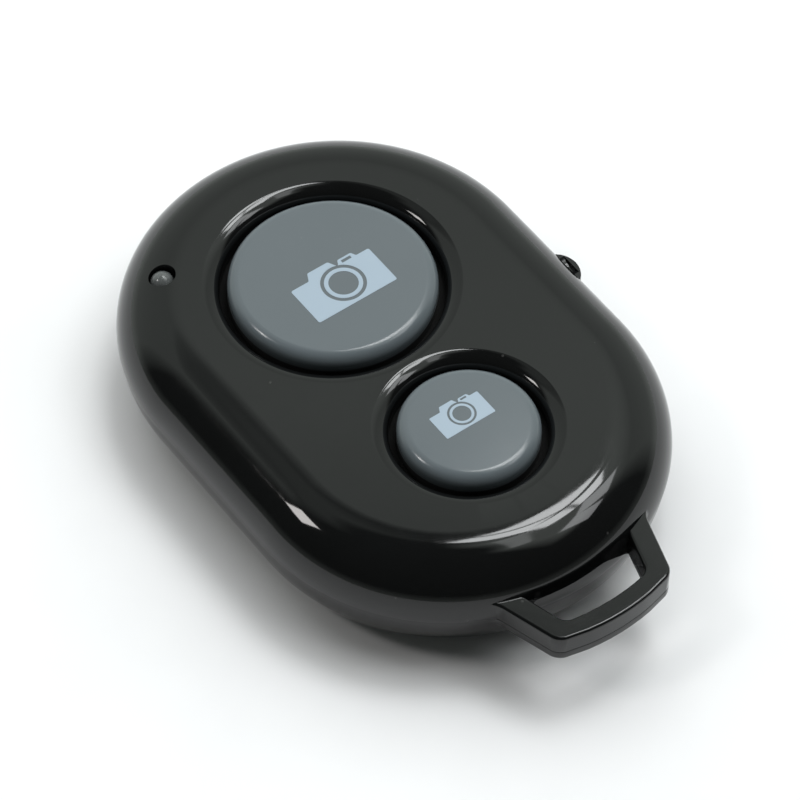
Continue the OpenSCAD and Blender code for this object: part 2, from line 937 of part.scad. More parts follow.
front_shell();
back_shell();
large_button();
small_button();
circuit_board();
board_screws();
large_key_base();
large_key_cover();
large_key_plunger();
large_key_dome();
large_key_leads();
small_key_base();
small_key_cover();
small_key_plunger();
small_key_dome();
small_key_leads();
power_switch_case();
power_switch_base();
power_switch_knob();
power_switch_leads();
status_light_lens();
status_light_leads();
radio_chip();
crystal_can();
capacitors();
resistors();
component_ends();
printed_aerial();
cell_clip();
cell_contact();
cell_can();
cell_gasket();
cell_cap();
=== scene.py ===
import math

import bmesh
import bpy
from mathutils import Matrix, Vector


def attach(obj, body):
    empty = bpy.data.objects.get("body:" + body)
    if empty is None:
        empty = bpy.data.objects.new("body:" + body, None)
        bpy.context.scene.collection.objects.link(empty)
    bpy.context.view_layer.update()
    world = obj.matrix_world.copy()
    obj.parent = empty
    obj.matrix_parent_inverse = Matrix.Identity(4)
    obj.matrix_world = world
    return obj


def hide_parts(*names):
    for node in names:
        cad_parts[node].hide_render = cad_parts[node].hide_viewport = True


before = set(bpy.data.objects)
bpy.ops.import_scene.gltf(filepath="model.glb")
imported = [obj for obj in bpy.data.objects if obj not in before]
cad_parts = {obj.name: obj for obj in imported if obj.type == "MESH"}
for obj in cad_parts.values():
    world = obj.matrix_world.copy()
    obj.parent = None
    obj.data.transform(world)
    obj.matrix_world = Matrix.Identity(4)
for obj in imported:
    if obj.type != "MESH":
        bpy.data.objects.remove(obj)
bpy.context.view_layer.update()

scene = bpy.context.scene
scene.view_settings.view_transform = "Standard"

# Meshes are made in millimetres and brought to metres when a piece is finished
mm = 0.001
weld = 0.0005
sharpDeg = 32  # edges that turn more than this stay sharp
cutPast = 1  # how far a cutting tool reaches past the piece

# Stadium outline that both shells follow
case = {
    "radius": 16,
    "halfSpacing": 6.6,
    "seam": 5.2,
    "face": 9.5,
    "roundSteps": 96,
    "straightSteps": 12,
}


# Mesh helpers

def arcPoints(x, z, radius, fromDeg, toDeg, steps):
    points = []
    for i in range(steps + 1):
        angle = math.radians(fromDeg + (toDeg - fromDeg) * i / steps)
        points.append((x + radius * math.cos(angle), z + radius * math.sin(angle)))
    return points


def addChain(bm, points, y=0.0, x=0.0):
    verts = [bm.verts.new((x + point[0], y, point[1])) for point in points]
    edges = [bm.edges.new(pair) for pair in zip(verts, verts[1:])]
    return verts + edges


def sweepAroundCase(bm, points):
    # two straight runs and two half turns take a section round the stadium
    half = case["halfSpacing"]
    step = 2 * half / case["straightSteps"]
    last = addChain(bm, points, y=-half)
    for side in (1, -1):
        run = bmesh.ops.spin(bm, geom=last, cent=(0, 0, 0), axis=(0, 0, 1), dvec=(0, side * step, 0), angle=0,
                             steps=case["straightSteps"], use_merge=False, use_duplicate=False)
        turn = bmesh.ops.spin(bm, geom=run["geom_last"], cent=(0, side * half, 0), axis=(0, 0, 1),
                              dvec=(0, 0, 0), angle=math.pi, steps=case["roundSteps"], use_merge=False,
                              use_duplicate=False)
        last = turn["geom_last"]
    bmesh.ops.remove_doubles(bm, verts=bm.verts, dist=weld)


def spinRound(bm, points, centre, steps):
    chain = addChain(bm, points, x=centre[0], y=centre[1])
    bmesh.ops.spin(bm, geom=chain, cent=(centre[0], centre[1], 0), axis=(0, 0, 1), dvec=(0, 0, 0),
                   angle=2 * math.pi, steps=steps, use_merge=True, use_duplicate=False)
    bmesh.ops.remove_doubles(bm, verts=bm.verts, dist=weld)


def fillLevel(bm, level, direction):
    edges = [e for e in bm.edges if e.is_boundary and all(abs(v.co.z - level) < weld for v in e.verts)]
    bmesh.ops.triangle_fill(bm, use_beauty=True, use_dissolve=False, edges=edges, normal=(0, 0, direction))


def addBox(bm, low, high):
    size = [b - a for a, b in zip(low, high)]
    middle = [(a + b) / 2 for a, b in zip(low, high)]
    bmesh.ops.create_cube(bm, size=1, matrix=Matrix.Translation(middle) @ Matrix.Diagonal((*size, 1)))


def addRod(bm, radius, centre, low, high, segments=64):
    place = Matrix.Translation((centre[0], centre[1], (low + high) / 2))
    bmesh.ops.create_cone(bm, cap_ends=True, segments=segments, radius1=radius, radius2=radius,
                          depth=high - low, matrix=place)


def makeObject(bm, name):
    bmesh.ops.remove_doubles(bm, verts=bm.verts, dist=weld)
    bmesh.ops.recalc_face_normals(bm, faces=bm.faces)
    mesh = bpy.data.meshes.new(name)
    bm.to_mesh(mesh)
    bm.free()
    made = bpy.data.objects.new(name, mesh)
    scene.collection.objects.link(made)
    return made


def applyModifiers(piece):
    bpy.context.view_layer.update()
    made = bpy.data.meshes.new_from_object(piece.evaluated_get(bpy.context.evaluated_depsgraph_get()))
    piece.modifiers.clear()
    piece.data = made


def combine(piece, tool, operation):
    modifier = piece.modifiers.new("Combine", "BOOLEAN")
    modifier.operation = operation
    modifier.solver = "EXACT"
    modifier.object = tool
    applyModifiers(piece)
    bpy.data.objects.remove(tool)


def finishPiece(piece, body, material, replaced=()):
    piece.data.transform(Matrix.Scale(mm, 4))
    piece.data.shade_smooth()
    piece.data.set_sharp_from_angle(angle=math.radians(sharpDeg))
    piece.data.materials.clear()
    piece.data.materials.append(material)
    weighted = piece.modifiers.new("Weighted normals", "WEIGHTED_NORMAL")
    weighted.keep_sharp = True
    weighted.weight = 80
    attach(piece, body)
    if replaced:
        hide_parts(*replaced)


# Shared shader effects

def newGroup(name, inputs, outputs):
    group = bpy.data.node_groups.new(name, "ShaderNodeTree")
    for label, kind, value in inputs:
        socket = group.interface.new_socket(name=label, in_out="INPUT", socket_type=kind)
        socket.default_value = value
    for label, kind in outputs:
        group.interface.new_socket(name=label, in_out="OUTPUT", socket_type=kind)
    return group, group.nodes.new("NodeGroupInput"), group.nodes.new("NodeGroupOutput")


def addNode(tree, kind, values=None, **settings):
    node = tree.nodes.new(kind)
    for name, value in settings.items():
        setattr(node, name, value)
    for name, value in (values or {}).items():
        node.inputs[name].default_value = value
    return node


def link(tree, source, target):
    tree.links.new(source, target)


def mixColours(tree, factor, first, second, blend="MIX"):
    node = addNode(tree, "ShaderNodeMix", data_type="RGBA", blend_type=blend)
    for socket, value in ((node.inputs[0], factor), (node.inputs[6], first), (node.inputs[7], second)):
        if isinstance(value, bpy.types.NodeSocket):
            link(tree, value, socket)
        else:
            socket.default_value = value
    return node.outputs[2]


def spread(tree, source, low, high, toLow, toHigh):
    node = addNode(tree, "ShaderNodeMapRange",
                   {"From Min": low, "From Max": high, "To Min": toLow, "To Max": toHigh})
    link(tree, source, node.inputs["Value"])
    return node.outputs["Result"]


def calc(tree, operation, first, second=0.0):
    node = addNode(tree, "ShaderNodeMath", operation=operation)
    for socket, value in ((node.inputs[0], first), (node.inputs[1], second)):
        if isinstance(value, bpy.types.NodeSocket):
            link(tree, value, socket)
        else:
            socket.default_value = value
    return node.outputs[0]


# Moulded plastic: faint flow clouds, handling smears, specks of dust and a fine skin
mouldedSkin, groupIn, groupOut = newGroup(
    "Moulded skin",
    [("Colour", "NodeSocketColor", (0.5, 0.5, 0.5, 1)), ("Cloud", "NodeSocketFloat", 0.1),
     ("Roughness", "NodeSocketFloat", 0.2), ("Smear", "NodeSocketFloat", 0.05),
     ("Dust", "NodeSocketFloat", 0.3),
     ("Skin size", "NodeSocketFloat", 3000.0), ("Skin depth", "NodeSocketFloat", 0.05)],
    [("Colour", "NodeSocketColor"), ("Roughness", "NodeSocketFloat"), ("Normal", "NodeSocketVector")])
place = addNode(mouldedSkin, "ShaderNodeTexCoord").outputs["Object"]
cloud = addNode(mouldedSkin, "ShaderNodeTexNoise", {"Scale": 140.0, "Detail": 3.0, "Roughness": 0.6})
smear = addNode(mouldedSkin, "ShaderNodeTexNoise",
                {"Scale": 420.0, "Detail": 5.0, "Roughness": 0.65, "Distortion": 1.2})
skin = addNode(mouldedSkin, "ShaderNodeTexNoise", {"Detail": 2.0, "Roughness": 0.5})
specks = addNode(mouldedSkin, "ShaderNodeTexVoronoi", {"Scale": 650.0, "Randomness": 1.0})
speckPick = addNode(mouldedSkin, "ShaderNodeTexNoise", {"Scale": 900.0, "Detail": 0.0})
for texture in (cloud, smear, skin, specks, speckPick):
    link(mouldedSkin, place, texture.inputs["Vector"])
link(mouldedSkin, groupIn.outputs["Skin size"], skin.inputs["Scale"])
speck = calc(mouldedSkin, "MULTIPLY", spread(mouldedSkin, specks.outputs["Distance"], 0.05, 0.075, 1, 0),
             spread(mouldedSkin, speckPick.outputs["Fac"], 0.56, 0.6, 0, 1))
speck = calc(mouldedSkin, "MULTIPLY", speck, groupIn.outputs["Dust"])
cloudAmount = calc(mouldedSkin, "MULTIPLY", spread(mouldedSkin, cloud.outputs["Fac"], 0.35, 0.65, 0, 1),
                   groupIn.outputs["Cloud"])
tinted = mixColours(mouldedSkin, cloudAmount, groupIn.outputs["Colour"], (0.35, 0.37, 0.4, 1), "SCREEN")
dusted = mixColours(mouldedSkin, speck, tinted, (0.32, 0.32, 0.31, 1))
link(mouldedSkin, dusted, groupOut.inputs["Colour"])
smearAmount = calc(mouldedSkin, "MULTIPLY", spread(mouldedSkin, smear.outputs["Fac"], 0.42, 0.68, 0, 1),
                   groupIn.outputs["Smear"])
rough = calc(mouldedSkin, "ADD", groupIn.outputs["Roughness"], smearAmount)
link(mouldedSkin, calc(mouldedSkin, "ADD", rough, calc(mouldedSkin, "MULTIPLY", speck, 0.5)),
     groupOut.inputs["Roughness"])
skinBump = addNode(mouldedSkin, "ShaderNodeBump", {"Distance": 0.00002})
link(mouldedSkin, skin.outputs["Fac"], skinBump.inputs["Height"])
link(mouldedSkin, groupIn.outputs["Skin depth"], skinBump.inputs["Strength"])
link(mouldedSkin, skinBump.outputs["Normal"], groupOut.inputs["Normal"])

# Plated or rolled metal: brushed along X, with patches of tarnish
rolledMetal, groupIn, groupOut = newGroup(
    "Rolled metal",
    [("Colour", "NodeSocketColor", (0.7, 0.7, 0.7, 1)), ("Tarnish", "NodeSocketColor", (0.4, 0.37, 0.32, 1)),
     ("Tarnish amount", "NodeSocketFloat", 0.3), ("Roughness", "NodeSocketFloat", 0.25),
     ("Brush depth", "NodeSocketFloat", 0.2)],
    [("Colour", "NodeSocketColor"), ("Roughness", "NodeSocketFloat"), ("Normal", "NodeSocketVector")])
place = addNode(rolledMetal, "ShaderNodeTexCoord").outputs["Object"]
stretched = addNode(rolledMetal, "ShaderNodeMapping", {"Scale": (300.0, 6000.0, 6000.0)})
link(rolledMetal, place, stretched.inputs["Vector"])
brush = addNode(rolledMetal, "ShaderNodeTexNoise", {"Scale": 1.0, "Detail": 3.0})
link(rolledMetal, stretched.outputs["Vector"], brush.inputs["Vector"])
patch = addNode(rolledMetal, "ShaderNodeTexNoise", {"Scale": 500.0, "Detail": 4.0, "Roughness": 0.6})
link(rolledMetal, place, patch.inputs["Vector"])
patchAmount = calc(rolledMetal, "MULTIPLY", spread(rolledMetal, patch.outputs["Fac"], 0.45, 0.7, 0, 1),
                   groupIn.outputs["Tarnish amount"])
link(rolledMetal, mixColours(rolledMetal, patchAmount, groupIn.outputs["Colour"], groupIn.outputs["Tarnish"]),
     groupOut.inputs["Colour"])
brushRough = spread(rolledMetal, brush.outputs["Fac"], 0.3, 0.7, -0.06, 0.1)
rough = calc(rolledMetal, "ADD", groupIn.outputs["Roughness"], brushRough)
link(rolledMetal, calc(rolledMetal, "ADD", rough, calc(rolledMetal, "MULTIPLY", patchAmount, 0.2)),
     groupOut.inputs["Roughness"])
brushBump = addNode(rolledMetal, "ShaderNodeBump", {"Distance": 0.00002})
link(rolledMetal, brush.outputs["Fac"], brushBump.inputs["Height"])
link(rolledMetal, groupIn.outputs["Brush depth"], brushBump.inputs["Strength"])
link(rolledMetal, brushBump.outputs["Normal"], groupOut.inputs["Normal"])


def newMaterial(name, effect, values, fixed):
    material = bpy.data.materials.new(name)
    material.use_nodes = True
    tree = material.node_tree
    tree.nodes.clear()
    out = tree.nodes.new("ShaderNodeOutputMaterial")
    shader = addNode(tree, "ShaderNodeBsdfPrincipled", fixed)
    finish = tree.nodes.new("ShaderNodeGroup")
    finish.node_tree = effect
    for label, value in values.items():
        finish.inputs[label].default_value = value
    link(tree, finish.outputs["Colour"], shader.inputs["Base Color"])
    link(tree, finish.outputs["Roughness"], shader.inputs["Roughness"])
    link(tree, finish.outputs["Normal"], shader.inputs["Normal"])
    link(tree, shader.outputs["BSDF"], out.inputs["Surface"])
    return material


def plastic(name, colour, roughness, cloud=0.02, smear=0.04, dust=0.0, skinSize=3000.0, skinDepth=0.1,
            **fixed):
    return newMaterial(name, mouldedSkin,
                       {"Colour": (*colour, 1), "Roughness": roughness, "Cloud": cloud, "Smear": smear,
                        "Dust": dust, "Skin size": skinSize, "Skin depth": skinDepth}, {"IOR": 1.5, **fixed})


def metal(name, colour, tarnish, roughness, amount=0.3, brush=0.2):
    return newMaterial(name, rolledMetal,
                       {"Colour": (*colour, 1), "Tarnish": (*tarnish, 1), "Tarnish amount": amount,
                        "Roughness": roughness, "Brush depth": brush}, {"Metallic": 1.0})


caseGloss = plastic("Gloss black case", (0.0031, 0.0033, 0.0034), 0.055, cloud=0.002, smear=0.03, dust=0.08,
                    skinSize=1100.0, skinDepth=0.03)
buttonGrey = plastic("Grey button", (0.112, 0.132, 0.144), 0.17, cloud=0.008, smear=0.03, dust=0.05,
                     skinSize=5200.0, skinDepth=0.12)
printInk = plastic("Pale print", (0.32, 0.405, 0.485), 0.42, cloud=0.02, smear=0.03, skinSize=9000.0,
                   skinDepth=0.2)
knobBlack = plastic("Black knob", (0.006, 0.006, 0.0065), 0.12, cloud=0.004, smear=0.04, dust=0.1,
                    skinSize=4200.0)
lensGrey = plastic("Smoked light lens", (0.16, 0.17, 0.17), 0.16, cloud=0.04, smear=0.04,
                   **{"Transmission Weight": 0.4})

# painted shade: near-black colour that stands in for the shade deep in the gap round each button
paintedGapShade = (0.003, 0.003, 0.003, 1)


def paintShadeBelow(material, low, high):
    # painted shade: a button is coloured near-black and made matt below the low height, standing in for the
    # shade deep in the gap round it, and turns to its own colour by the high one, in mm
    tree = material.node_tree
    shader = next(node for node in tree.nodes if node.type == "BSDF_PRINCIPLED")
    finish = next(node for node in tree.nodes if node.type == "GROUP")
    split = addNode(tree, "ShaderNodeSeparateXYZ")
    link(tree, addNode(tree, "ShaderNodeTexCoord").outputs["Object"], split.inputs["Vector"])
    upper = spread(tree, split.outputs["Z"], low * mm, high * mm, 0, 1)
    colour = mixColours(tree, upper, paintedGapShade, finish.outputs["Colour"])
    link(tree, colour, shader.inputs["Base Color"])
    matt = calc(tree, "SUBTRACT", 1.0, upper)
    link(tree, calc(tree, "MAXIMUM", matt, finish.outputs["Roughness"]), shader.inputs["Roughness"])


print("scene: materials made")


# Front shell

frontShell = {
    "flatRadius": 11.25,
    "easeRadius": 10,
    "easeDeg": 3.5,
    "innerRadius": 12.1,
    "innerRound": 2.8,
    "wall": 1.1,
    "seamRound": 0.1,
    "easeSteps": 5,
    "edgeSteps": 26,
    "seamSteps": 4,
    "wells": [((0, 7.1), 8.15, 9.385), ((0, -9.2), 5.65, 6.885)],  # centre, wall radius, rim radius
    "wellSteps": 144,
    "rimKnee": 0.5,
    "rimKneeDeg": 8,
    "rimRound": 2.0,
    "rimDeg": 29,
    "rimSteps": (4, 16, 14),  # along the knee, the broad round and the lip
    "rib": (0.35, 0.6, 7.25),  # half width, half length, bottom
    "ribReach": 0.75,
    "overlap": 0.05,
    "collarWidth": 1.0,
    "collarBottom": 7.85,
    "lightPlace": (-9.581, 14.783),
    "lightHole": 1.0,
    "lightBottom": 6.9,
    "slotLow": (13.9, -2.45, 4.6),
    "slotHigh": (16.6, 3.65, 7.425),
    "slotSoft": 0.3,
    "slotSteps": 5,
    "bossPlaces": [(9.289, 14.964), (9.289, -14.964), (-9.289, -14.964)],
    "bossRadius": 1.6,
    "bossBottom": 5.8,
    "boreRadius": 0.82,
    "boreTop": 8.225,
    "boreSteps": 48,
}


def ellipsePoints(x, z, width, height, fromDeg, toDeg, steps):
    unit = arcPoints(0, 0, 1, fromDeg, toDeg, steps)
    return [(x + width * across, z + height * rise) for across, rise in unit]


def caseSideSection(spec):
    # from the flat face through a gentle ease and the rounded edge to the seam, then up inside to the ceiling
    radius, face, seam, soft = case["radius"], case["face"], case["seam"], spec["seamRound"]
    ease, turn = spec["easeRadius"], math.radians(spec["easeDeg"])
    points = arcPoints(spec["flatRadius"], face - ease, ease, 90, 90 - spec["easeDeg"],
                       spec["easeSteps"])
    joinX, joinZ = points.pop()
    width = (radius - joinX) / (1 - math.sin(turn))
    height = (joinZ - seam - soft) / math.cos(turn)
    points += ellipsePoints(radius - width, seam + soft, width, height, 90 - spec["easeDeg"], 0,
                            spec["edgeSteps"])
    points += arcPoints(radius - soft, seam + soft, soft, 0, -90, spec["seamSteps"])[1:]
    points.append((radius - spec["wall"], seam))
    inner = spec["innerRound"]
    points += arcPoints(spec["innerRadius"], face - spec["wall"] - inner, inner, 0, 90, spec["edgeSteps"])
    return points


def wellSection(spec, radius, rimRadius):
    # from the face over a tight knee and a broad round to the upright wall, then the collar to the ceiling
    face, ceiling = case["face"], case["face"] - spec["wall"]
    knee, broad = spec["rimKnee"], spec["rimRound"]
    kneeSteps, broadSteps, lipSteps = spec["rimSteps"]
    kneeEnd, broadEnd = 90 + spec["rimKneeDeg"], 90 + spec["rimDeg"]
    points = arcPoints(rimRadius, face - knee, knee, 90, kneeEnd, kneeSteps)
    fromX, fromZ = points.pop()
    turn = math.radians(kneeEnd)
    points += arcPoints(fromX - broad * math.cos(turn), fromZ - broad * math.sin(turn), broad,
                        kneeEnd, broadEnd, broadSteps)
    fromX, fromZ = points.pop()
    turn = math.radians(broadEnd)
    lip = (fromX - radius) / (1 + math.cos(turn))
    points += arcPoints(radius + lip, fromZ - lip * math.sin(turn), lip, broadEnd, 180, lipSteps)
    outer = radius + spec["collarWidth"]
    return points + [(radius, spec["collarBottom"]), (outer, spec["collarBottom"]), (outer, ceiling)]


def buildFrontShell(spec):
    face, ceiling = case["face"], case["face"] - spec["wall"]
    bm = bmesh.new()
    sweepAroundCase(bm, caseSideSection(spec))
    for centre, radius, rimRadius in spec["wells"]:
        spinRound(bm, wellSection(spec, radius, rimRadius), centre, spec["wellSteps"])
    fillLevel(bm, face, 1)
    fillLevel(bm, ceiling, -1)
    shell = makeObject(bm, "frontShell")
    bosses = bmesh.new()
    top = ceiling + spec["overlap"]
    for place in spec["bossPlaces"]:
        addRod(bosses, spec["bossRadius"], place, spec["bossBottom"], top)
    across, along, bottom = spec["rib"]
    for (_, y), radius, _ in spec["wells"]:
        for side in (-1, 1):
            x = side * (radius + spec["ribReach"])
            addBox(bosses, (x - across, y - along, bottom), (x + across, y + along, top))
    combine(shell, makeObject(bosses, "bosses"), "UNION")
    holes = bmesh.new()
    for place in spec["bossPlaces"]:
        addRod(holes, spec["boreRadius"], place, spec["bossBottom"] - cutPast, spec["boreTop"],
               spec["boreSteps"])
    addRod(holes, spec["lightHole"], spec["lightPlace"], spec["lightBottom"], face + cutPast)
    combine(shell, makeObject(holes, "holes"), "DIFFERENCE")
    slot = bmesh.new()
    addBox(slot, spec["slotLow"], spec["slotHigh"])
    topEdges = [e for e in slot.edges if all(v.co.z > case["seam"] for v in e.verts)
                and abs(e.verts[0].co.y - e.verts[1].co.y) < weld]
    bmesh.ops.bevel(slot, geom=topEdges, offset=spec["slotSoft"], segments=spec["slotSteps"], profile=0.5,
                    affect="EDGES", material=-1)
    combine(shell, makeObject(slot, "slot"), "DIFFERENCE")
    return shell


# Lanyard loop, half on each shell

loopShape = {
    "rootX": 6.45,
    "rootRadius": 1.9,
    "rootReach": 15.66,
    "corner": (4.95, -26.05),
    "cornerRadius": 1.2,
    "tipY": -26.8,
    "crown": 0.75,
    "endBar": 1.5,
    "sideBar": 1.65,
    "innerCornerRadius": 0.9,
    "footRadius": 15.1,
    "footAbove": 4.9,
    "outerShares": (0.18, 0.36, 0.54),  # points along the end bar, in shares of its half width
    "innerShares": (0.66, 0.44, 0.22),
    "blendSteps": 10,
    "footSteps": 5,
    "cornerSteps": (10, 8),
    "top": 6.8,
    "bottom": 4.4,
    "edgeSoft": 0.22,
    "seamSoft": 0.05,
    "softSteps": 4,
}


def roundCorner(bm, vert, radius, steps):
    directions = [(e.other_vert(vert).co - vert.co).normalized() for e in vert.link_edges]
    half = directions[0].angle(directions[1]) / 2
    bmesh.ops.bevel(bm, geom=[vert], offset=radius / math.tan(half), offset_type="OFFSET", segments=steps,
                    profile=0.5, affect="VERTICES", material=-1)


def buildLoopHalf(spec, low, high, softLevel, name):
    # half of a U: side bar and its concave blend into the case, then a foot inside the wall
    middle = Vector((0, -case["halfSpacing"]))
    corner = Vector(spec["corner"])
    rootY = middle.y - math.sqrt(case["radius"] ** 2 - spec["rootX"] ** 2)
    along = (Vector((spec["rootX"], rootY)) - corner).normalized()
    outward = Vector((along.y, -along.x))
    blend = spec["rootRadius"]
    start = corner + outward * blend - middle
    half = start.dot(along)
    reach = -half - math.sqrt(half * half - start.length_squared + (spec["rootReach"] + blend) ** 2)
    blendCentre = middle + start + along * reach
    toCase = middle - blendCentre
    outer = arcPoints(*blendCentre, blend, math.degrees(math.atan2(-outward.y, -outward.x)),
                      math.degrees(math.atan2(toCase.y, toCase.x)), spec["blendSteps"])
    footAngle = math.degrees(math.atan2(outer[-1][1] - middle.y, outer[-1][0]))
    tipY, crown, innerTip = spec["tipY"], spec["crown"], spec["tipY"] + spec["endBar"]
    innerLow = innerTip + crown / 2
    slope = along.x / along.y
    shift = spec["sideBar"] * math.sqrt(1 + slope * slope)
    innerCorner = (corner.x + slope * (innerLow - corner.y) - shift, innerLow)
    footX = corner.x + slope * spec["footAbove"] - shift
    footEnd = -math.degrees(math.acos(footX / spec["footRadius"]))
    foot = arcPoints(*middle, spec["footRadius"], footAngle, footEnd, spec["footSteps"])
    right = [(corner.x * share, tipY + crown * share * share) for share in spec["outerShares"]]
    right += [tuple(corner)] + outer + foot + [innerCorner]
    right += [(innerCorner[0] * share, innerTip + crown / 2 * share * share) for share in spec["innerShares"]]
    outline = [(0, tipY)] + right + [(0, innerTip)] + [(-x, y) for x, y in reversed(right)]
    bm = bmesh.new()
    bm.faces.new([bm.verts.new((x, y, low)) for x, y in outline])
    radii = (spec["cornerRadius"], spec["innerCornerRadius"])
    for place, radius, steps in zip((corner, innerCorner), radii, spec["cornerSteps"]):
        for side in (1, -1):
            spot = Vector((side * place[0], place[1], low))
            roundCorner(bm, min(bm.verts, key=lambda v: (v.co - spot).length), radius, steps)
    made = bmesh.ops.extrude_face_region(bm, geom=list(bm.faces))
    moved = [v for v in made["geom"] if isinstance(v, bmesh.types.BMVert)]
    bmesh.ops.translate(bm, verts=moved, vec=(0, 0, high - low))
    bmesh.ops.recalc_face_normals(bm, faces=bm.faces)
    for level in (low, high):
        rims = [e for e in bm.edges if all(abs(v.co.z - level) < weld for v in e.verts)
                and max((v.co.xy - middle).length for v in e.verts) > spec["rootReach"] + weld]
        soft = spec["edgeSoft"] if level == softLevel else spec["seamSoft"]
        bmesh.ops.bevel(bm, geom=rims, offset=soft, segments=spec["softSteps"], profile=0.5, affect="EDGES",
                        material=-1)
    for vert in bm.verts:
        for level in (low, high):
            if abs(vert.co.z - level) < weld:
                vert.co.z = level
    return makeObject(bm, name)


upperLoop = buildLoopHalf(loopShape, case["seam"], loopShape["top"], loopShape["top"], "upperLoop")
front = buildFrontShell(frontShell)
combine(front, upperLoop, "UNION")
finishPiece(front, "front_case", caseGloss, ["front_shell"])
print("scene: front shell made,", len(front.data.polygons), "faces")


# Back shell

backShell = {
    "radius": 15.88,
    "edgeRadius": 4.9,
    "floor": 1.1,
    "innerEdge": 3.8,
    "lipOut": 14.8,
    "lipIn": 14.3,
    "lipTop": 6.0,
    "seamRound": 0.1,
    "lipSoft": 0.08,
    "edgeSteps": 22,
    "seamSteps": 4,
    "lipSteps": 3,
    "notchLow": (13.8, -2.65, 5.2),
    "notchHigh": (16.4, 3.85, 6.5),
    "sillLow": (14.32, -2.35, 4.4),
    "sillHigh": (15.879, 3.55, 5.725),
    "stopRadii": (10.4, 11.2),
    "stopLevels": (0.55, 2.7),
    "stopAngle": 100,
    "stopSteps": 40,
}


def buildBackShell(spec):
    radius, seam, edge, soft = spec["radius"], case["seam"], spec["edgeRadius"], spec["seamRound"]
    bm = bmesh.new()
    points = arcPoints(radius - edge, edge, edge, -90, 0, spec["edgeSteps"])
    points += arcPoints(radius - soft, seam - soft, soft, 0, 90, spec["seamSteps"])
    points.append((spec["lipOut"], seam))
    lipSoft, inner = spec["lipSoft"], spec["innerEdge"]
    points += arcPoints(spec["lipOut"] - lipSoft, spec["lipTop"] - lipSoft, lipSoft, 0, 90, spec["lipSteps"])
    points += arcPoints(spec["lipIn"] + lipSoft, spec["lipTop"] - lipSoft, lipSoft, 90, 180, spec["lipSteps"])
    points += arcPoints(spec["lipIn"] - inner, spec["floor"] + inner, inner, 0, -90, spec["edgeSteps"])
    sweepAroundCase(bm, points)
    fillLevel(bm, 0, -1)
    fillLevel(bm, spec["floor"], 1)
    shell = makeObject(bm, "backShell")
    notch = bmesh.new()
    addBox(notch, spec["notchLow"], spec["notchHigh"])
    combine(shell, makeObject(notch, "notch"), "DIFFERENCE")
    extras = bmesh.new()
    addBox(extras, spec["sillLow"], spec["sillHigh"])
    inner, outer = spec["stopRadii"]
    low, high = spec["stopLevels"]
    for middle in (90, 270):
        start = math.radians(middle - spec["stopAngle"] / 2)
        corners = [(inner, low), (outer, low), (outer, high), (inner, high)]
        verts = [extras.verts.new((r * math.cos(start), r * math.sin(start), z)) for r, z in corners]
        section = extras.faces.new(verts)
        bmesh.ops.spin(extras, geom=[section], cent=(0, 0, 0), axis=(0, 0, 1), dvec=(0, 0, 0),
                       angle=math.radians(spec["stopAngle"]), steps=spec["stopSteps"], use_merge=False,
                       use_duplicate=False)
    combine(shell, makeObject(extras, "extras"), "UNION")
    return shell


lowerLoop = buildLoopHalf(loopShape, loopShape["bottom"], case["seam"], loopShape["bottom"], "lowerLoop")
back = buildBackShell(backShell)
combine(back, lowerLoop, "UNION")
finishPiece(back, "back_case", caseGloss, ["back_shell"])
print("scene: back shell made,", len(back.data.polygons), "faces")


# Buttons

buttonShape = {
    "large": (7.1, 7.6),  # place along Y and radius
    "small": (-9.2, 5.1),
    "top": 9.885,
    "edgeRadius": 0.9,
    "wall": 1.0,
    "under": 8.9,
    "flangeLow": 7.25,
    "flangeHigh": 7.8,
    "flangeReach": 0.6,
    "gap": 0.7,
    "stemRadius": 1.5,
    "stemBottom": 7.62,
    "notch": (0.94, 1.44),  # width and length
    "notchOver": 0.001,
    "soft": 0.06,
    "edgeSteps": 14,
    "softSteps": 3,
    "roundSteps": 144,
    # heights in mm where the painted gap shade on a button is full and where it has faded out
    "paintedShadeBelow": (8.45, 8.8),
}


def buildButton(name, seat, spec):
    centreY, radius = seat
    soft, top, edge, under = spec["soft"], spec["top"], spec["edgeRadius"], spec["under"]
    flange = radius + spec["gap"] + spec["flangeReach"]
    inner = radius - spec["wall"]
    points = [(0, top)] + arcPoints(radius - edge, top - edge, edge, 90, 0, spec["edgeSteps"])
    points += [(radius, spec["flangeHigh"])]
    points += arcPoints(flange - soft, spec["flangeHigh"] - soft, soft, 90, 0, spec["softSteps"])
    points += arcPoints(flange - soft, spec["flangeLow"] + soft, soft, 0, -90, spec["softSteps"])
    points += [(inner, spec["flangeLow"]), (inner, under), (spec["stemRadius"], under),
               (spec["stemRadius"], spec["stemBottom"]), (0, spec["stemBottom"])]
    bm = bmesh.new()
    spinRound(bm, points, (0, centreY), spec["roundSteps"])
    made = makeObject(bm, name)
    notches = bmesh.new()
    width, length = spec["notch"]
    for side in (-1, 1):
        addBox(notches, (side * flange - width / 2, centreY - length / 2, spec["flangeLow"] - cutPast),
               (side * flange + width / 2, centreY + length / 2, spec["flangeHigh"] + spec["notchOver"]))
    combine(made, makeObject(notches, "notches"), "DIFFERENCE")
    return made


# painted shade: the buttons' skirt and flange are coloured near-black where they sit deep in the gap
paintShadeBelow(buttonGrey, *buttonShape["paintedShadeBelow"])
largeButton = buildButton("largeButton", buttonShape["large"], buttonShape)
finishPiece(largeButton, "large_button", buttonGrey, ["large_button"])
smallButton = buildButton("smallButton", buttonShape["small"], buttonShape)
finishPiece(smallButton, "small_button", buttonGrey, ["small_button"])
print("scene: buttons made")


# Printed camera signs: body with a lens ring, a finder hump and a flash window

